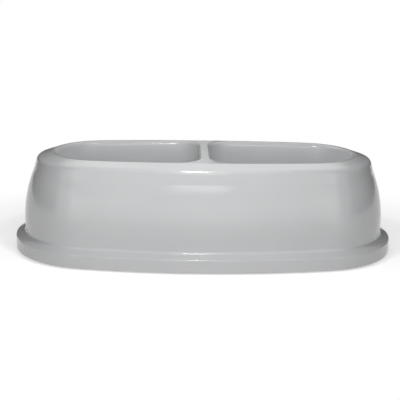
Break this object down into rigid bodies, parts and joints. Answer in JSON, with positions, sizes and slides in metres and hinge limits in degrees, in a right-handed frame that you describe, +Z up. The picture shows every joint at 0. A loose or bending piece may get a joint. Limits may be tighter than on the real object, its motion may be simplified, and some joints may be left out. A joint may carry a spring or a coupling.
{
  "type": "double pet bowl",
  "caption": "Low oval pet bowl with side-by-side feeding wells and a divider between them, a bulging skirt, a stepped foot flange and push-in rubber feet.",
  "frame": {"origin": "on the ground under the middle of the bowl, level with the soles of the feet", "axes": "+X along the length towards the right-hand well, -Y towards the front, +Z up"},
  "size_m": [0.38, 0.187, 0.0973],
  "materials": {
    "shell_plastic": "light grey injection-moulded plastic with a soft gloss",
    "foot_rubber": "matt dark grey rubber"
  },
  "bodies": {
    "root": {"bowl_shell": "shell_plastic", "foot_front_left": "foot_rubber", "foot_front_right": "foot_rubber", "foot_rear_left": "foot_rubber", "foot_rear_right": "foot_rubber"}
  },
  "joints": []
}
